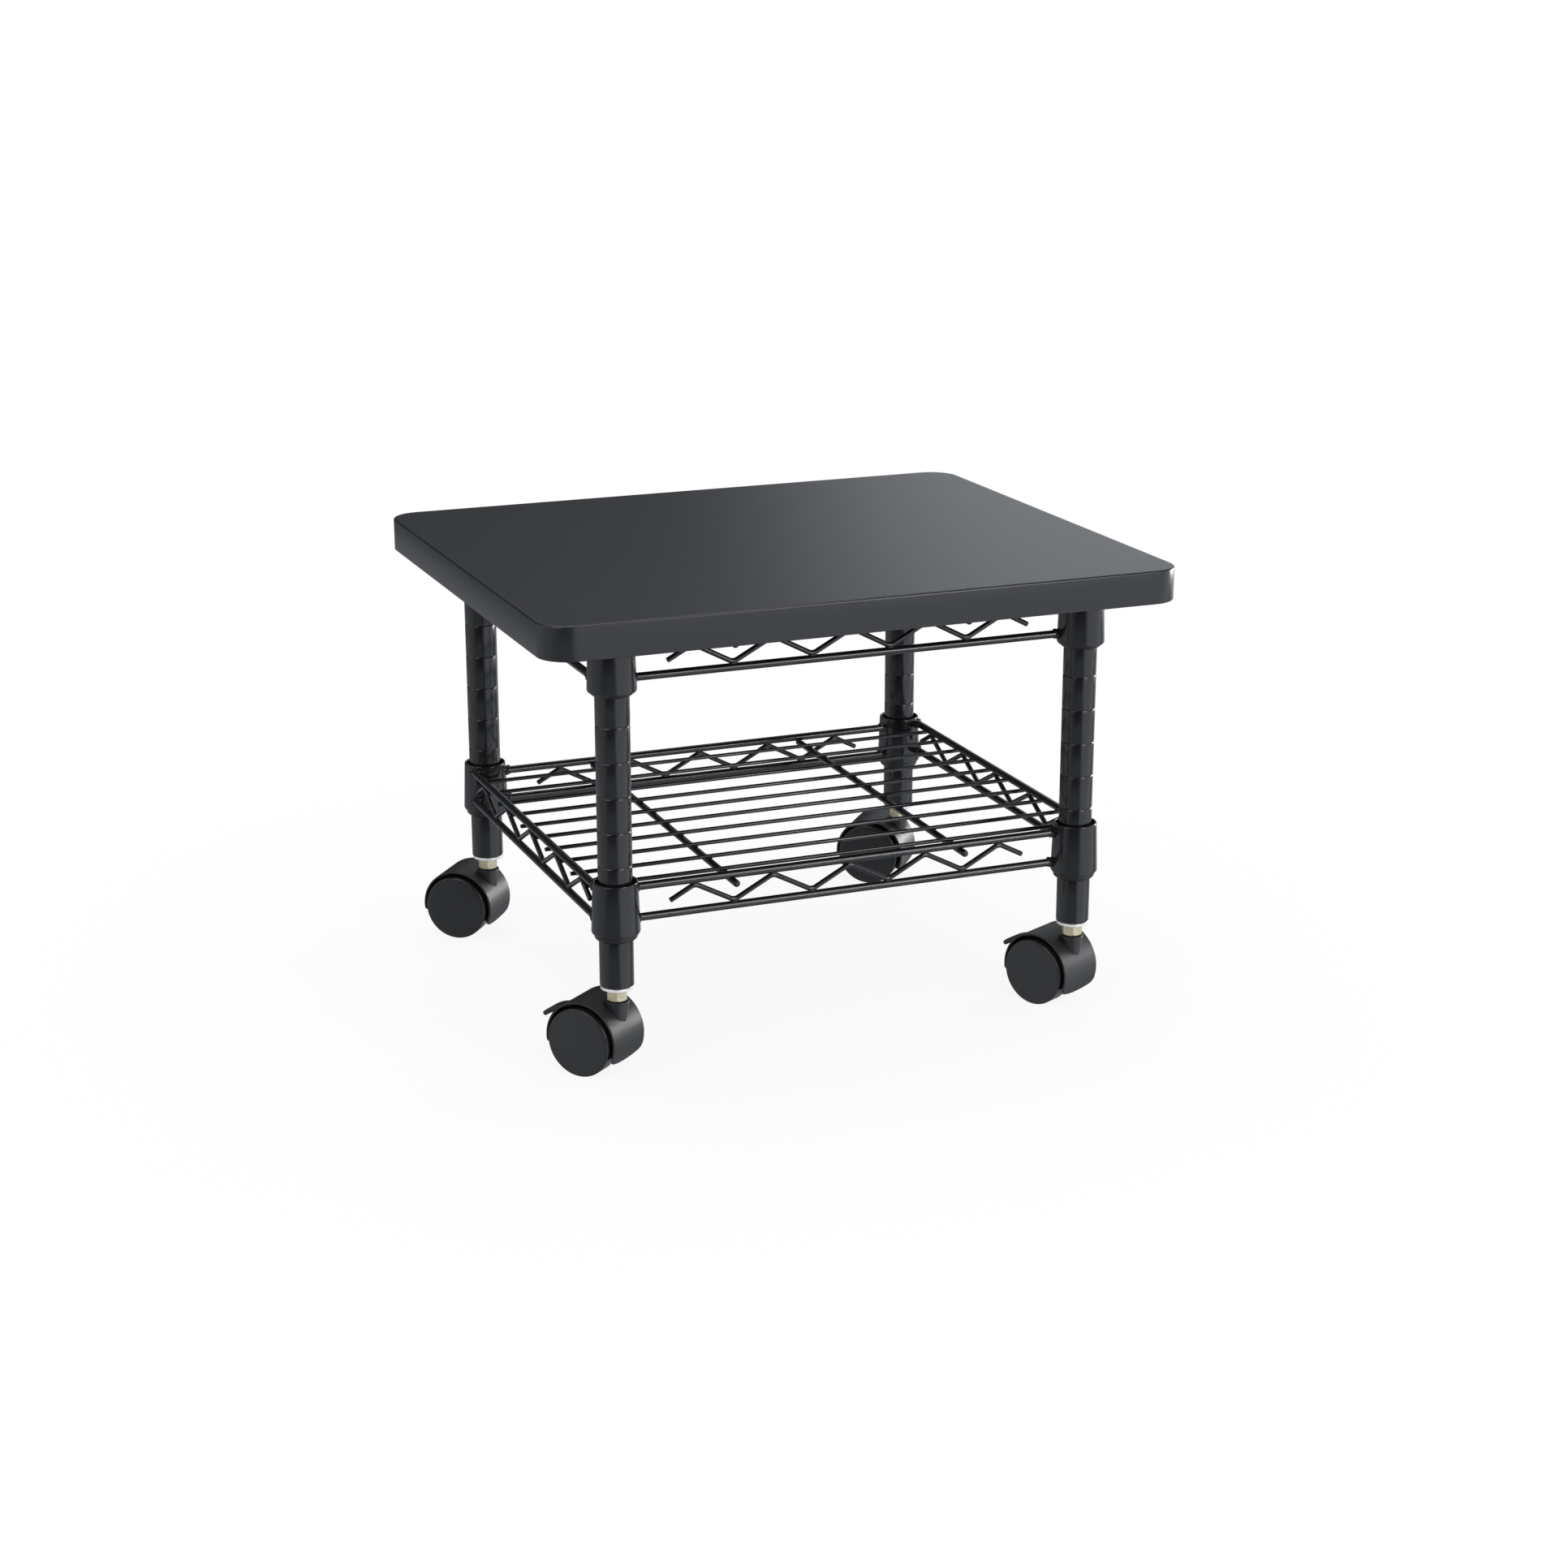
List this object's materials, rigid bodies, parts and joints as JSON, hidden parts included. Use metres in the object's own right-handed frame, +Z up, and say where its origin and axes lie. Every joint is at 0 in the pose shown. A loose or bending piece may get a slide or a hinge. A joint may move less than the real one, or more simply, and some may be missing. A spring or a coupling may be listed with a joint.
{
  "type": "mobile printer stand",
  "caption": "Low rolling stand with a rectangular board on ringed tube posts, an adjustable welded wire shelf below it and braked swivel casters at the front.",
  "frame": {"origin": "on the floor under the middle of the stand", "axes": "+X along the board's long side to the right seen from the front, +Y to the rear, +Z up"},
  "size_m": [0.4826, 0.408, 0.341],
  "materials": {
    "laminate": "satin charcoal laminate on board",
    "powder_coat": "gloss black powder coat on steel",
    "sleeve_plastic": "black moulded plastic",
    "hood_nylon": "black nylon with a fine moulded texture",
    "wheel_nylon": "smooth satin black nylon",
    "bright_zinc": "bright zinc plate",
    "yellow_zinc": "yellow zinc plate",
    "steel": "plain drawn steel"
  },
  "bodies": {
    "frame": {"tabletop": "laminate", "table_clip_left_front": "powder_coat", "table_screw_left_front": "bright_zinc", "table_clip_left_rear": "powder_coat", "table_screw_left_rear": "bright_zinc", "table_clip_right_front": "powder_coat", "table_screw_right_front": "bright_zinc", "table_clip_right_rear": "powder_coat", "table_screw_right_rear": "bright_zinc", "post_front_left": "powder_coat", "post_insert_front_left": "bright_zinc", "caster_stem_front_left": "yellow_zinc", "post_front_right": "powder_coat", "post_insert_front_right": "bright_zinc", "caster_stem_front_right": "yellow_zinc", "post_rear_left": "powder_coat", "post_insert_rear_left": "bright_zinc", "caster_stem_rear_left": "yellow_zinc", "post_rear_right": "powder_coat", "post_insert_rear_right": "bright_zinc", "caster_stem_rear_right": "yellow_zinc", "upper_shelf_left_end": "powder_coat", "upper_shelf_right_end": "powder_coat", "upper_shelf_front_truss": "powder_coat", "upper_shelf_rear_truss": "powder_coat", "upper_shelf_deck": "powder_coat", "upper_sleeve_front_left": "sleeve_plastic", "upper_sleeve_front_right": "sleeve_plastic", "upper_sleeve_rear_left": "sleeve_plastic", "upper_sleeve_rear_right": "sleeve_plastic"},
    "lower_shelf": {"lower_shelf_left_end": "powder_coat", "lower_shelf_right_end": "powder_coat", "lower_shelf_front_truss": "powder_coat", "lower_shelf_rear_truss": "powder_coat", "lower_shelf_deck": "powder_coat", "lower_sleeve_front_left": "sleeve_plastic", "lower_sleeve_front_right": "sleeve_plastic", "lower_sleeve_rear_left": "sleeve_plastic", "lower_sleeve_rear_right": "sleeve_plastic"},
    "caster_front_left": {"caster_hood_front_left": "hood_nylon", "caster_axle_front_left": "steel"},
    "caster_wheel_1_front_left": {"caster_wheel_1_front_left": "wheel_nylon"},
    "caster_wheel_2_front_left": {"caster_wheel_2_front_left": "wheel_nylon"},
    "brake_lever_front_left": {"brake_lever_front_left": "hood_nylon"},
    "caster_front_right": {"caster_hood_front_right": "hood_nylon", "caster_axle_front_right": "steel"},
    "caster_wheel_1_front_right": {"caster_wheel_1_front_right": "wheel_nylon"},
    "caster_wheel_2_front_right": {"caster_wheel_2_front_right": "wheel_nylon"},
    "brake_lever_front_right": {"brake_lever_front_right": "hood_nylon"},
    "caster_rear_left": {"caster_hood_rear_left": "hood_nylon", "caster_axle_rear_left": "steel"},
    "caster_wheel_1_rear_left": {"caster_wheel_1_rear_left": "wheel_nylon"},
    "caster_wheel_2_rear_left": {"caster_wheel_2_rear_left": "wheel_nylon"},
    "caster_rear_right": {"caster_hood_rear_right": "hood_nylon", "caster_axle_rear_right": "steel"},
    "caster_wheel_1_rear_right": {"caster_wheel_1_rear_right": "wheel_nylon"},
    "caster_wheel_2_rear_right": {"caster_wheel_2_rear_right": "wheel_nylon"}
  },
  "joints": [
    {"name": "lower_shelf_height", "type": "slide", "parent": "frame", "child": "lower_shelf", "axis": [0, 0, 1], "range_m": [-0.0254, 0.1016]},
    {"name": "caster_swivel_front_left", "type": "hinge", "parent": "frame", "child": "caster_front_left", "pos_m": [-0.181, -0.1588, 0.0562], "axis": [0, 0, 1], "continuous": true},
    {"name": "wheel_1_spin_front_left", "type": "hinge", "parent": "caster_front_left", "child": "caster_wheel_1_front_left", "pos_m": [-0.20499, -0.15214, 0.0254], "axis": [0.7848, 0.6198, 0], "continuous": true},
    {"name": "wheel_2_spin_front_left", "type": "hinge", "parent": "caster_front_left", "child": "caster_wheel_2_front_left", "pos_m": [-0.18192, -0.13392, 0.0254], "axis": [0.7848, 0.6198, 0], "continuous": true},
    {"name": "brake_press_front_left", "type": "hinge", "parent": "caster_front_left", "child": "brake_lever_front_left", "pos_m": [-0.20523, -0.12812, 0.04134], "axis": [-0.7848, -0.6198, 0], "range_deg": [0, 12]},
    {"name": "caster_swivel_front_right", "type": "hinge", "parent": "frame", "child": "caster_front_right", "pos_m": [0.181, -0.1588, 0.0562], "axis": [0, 0, 1], "continuous": true},
    {"name": "wheel_1_spin_front_right", "type": "hinge", "parent": "caster_front_right", "child": "caster_wheel_1_front_right", "pos_m": [0.159, -0.14714, 0.0254], "axis": [0.8996, 0.4368, 0], "continuous": true},
    {"name": "wheel_2_spin_front_right", "type": "hinge", "parent": "caster_front_right", "child": "caster_wheel_2_front_right", "pos_m": [0.18544, -0.1343, 0.0254], "axis": [0.8996, 0.4368, 0], "continuous": true},
    {"name": "brake_press_front_right", "type": "hinge", "parent": "caster_front_right", "child": "brake_lever_front_right", "pos_m": [0.16392, -0.12363, 0.04134], "axis": [-0.8996, -0.4368, 0], "range_deg": [0, 12]},
    {"name": "caster_swivel_rear_left", "type": "hinge", "parent": "frame", "child": "caster_rear_left", "pos_m": [-0.181, 0.1588, 0.0562], "axis": [0, 0, 1], "continuous": true},
    {"name": "wheel_1_spin_rear_left", "type": "hinge", "parent": "caster_rear_left", "child": "caster_wheel_1_rear_left", "pos_m": [-0.20583, 0.16068, 0.0254], "axis": [0.6494, 0.7604, 0], "continuous": true},
    {"name": "wheel_2_spin_rear_left", "type": "hinge", "parent": "caster_rear_left", "child": "caster_wheel_2_rear_left", "pos_m": [-0.18674, 0.18303, 0.0254], "axis": [0.6494, 0.7604, 0], "continuous": true},
    {"name": "caster_swivel_rear_right", "type": "hinge", "parent": "frame", "child": "caster_rear_right", "pos_m": [0.181, 0.1588, 0.0562], "axis": [0, 0, 1], "continuous": true},
    {"name": "wheel_1_spin_rear_right", "type": "hinge", "parent": "caster_rear_right", "child": "caster_wheel_1_rear_right", "pos_m": [0.15619, 0.16089, 0.0254], "axis": [0.6561, 0.7547, 0], "continuous": true},
    {"name": "wheel_2_spin_rear_right", "type": "hinge", "parent": "caster_rear_right", "child": "caster_wheel_2_rear_right", "pos_m": [0.17547, 0.18308, 0.0254], "axis": [0.6561, 0.7547, 0], "continuous": true}
  ]
}
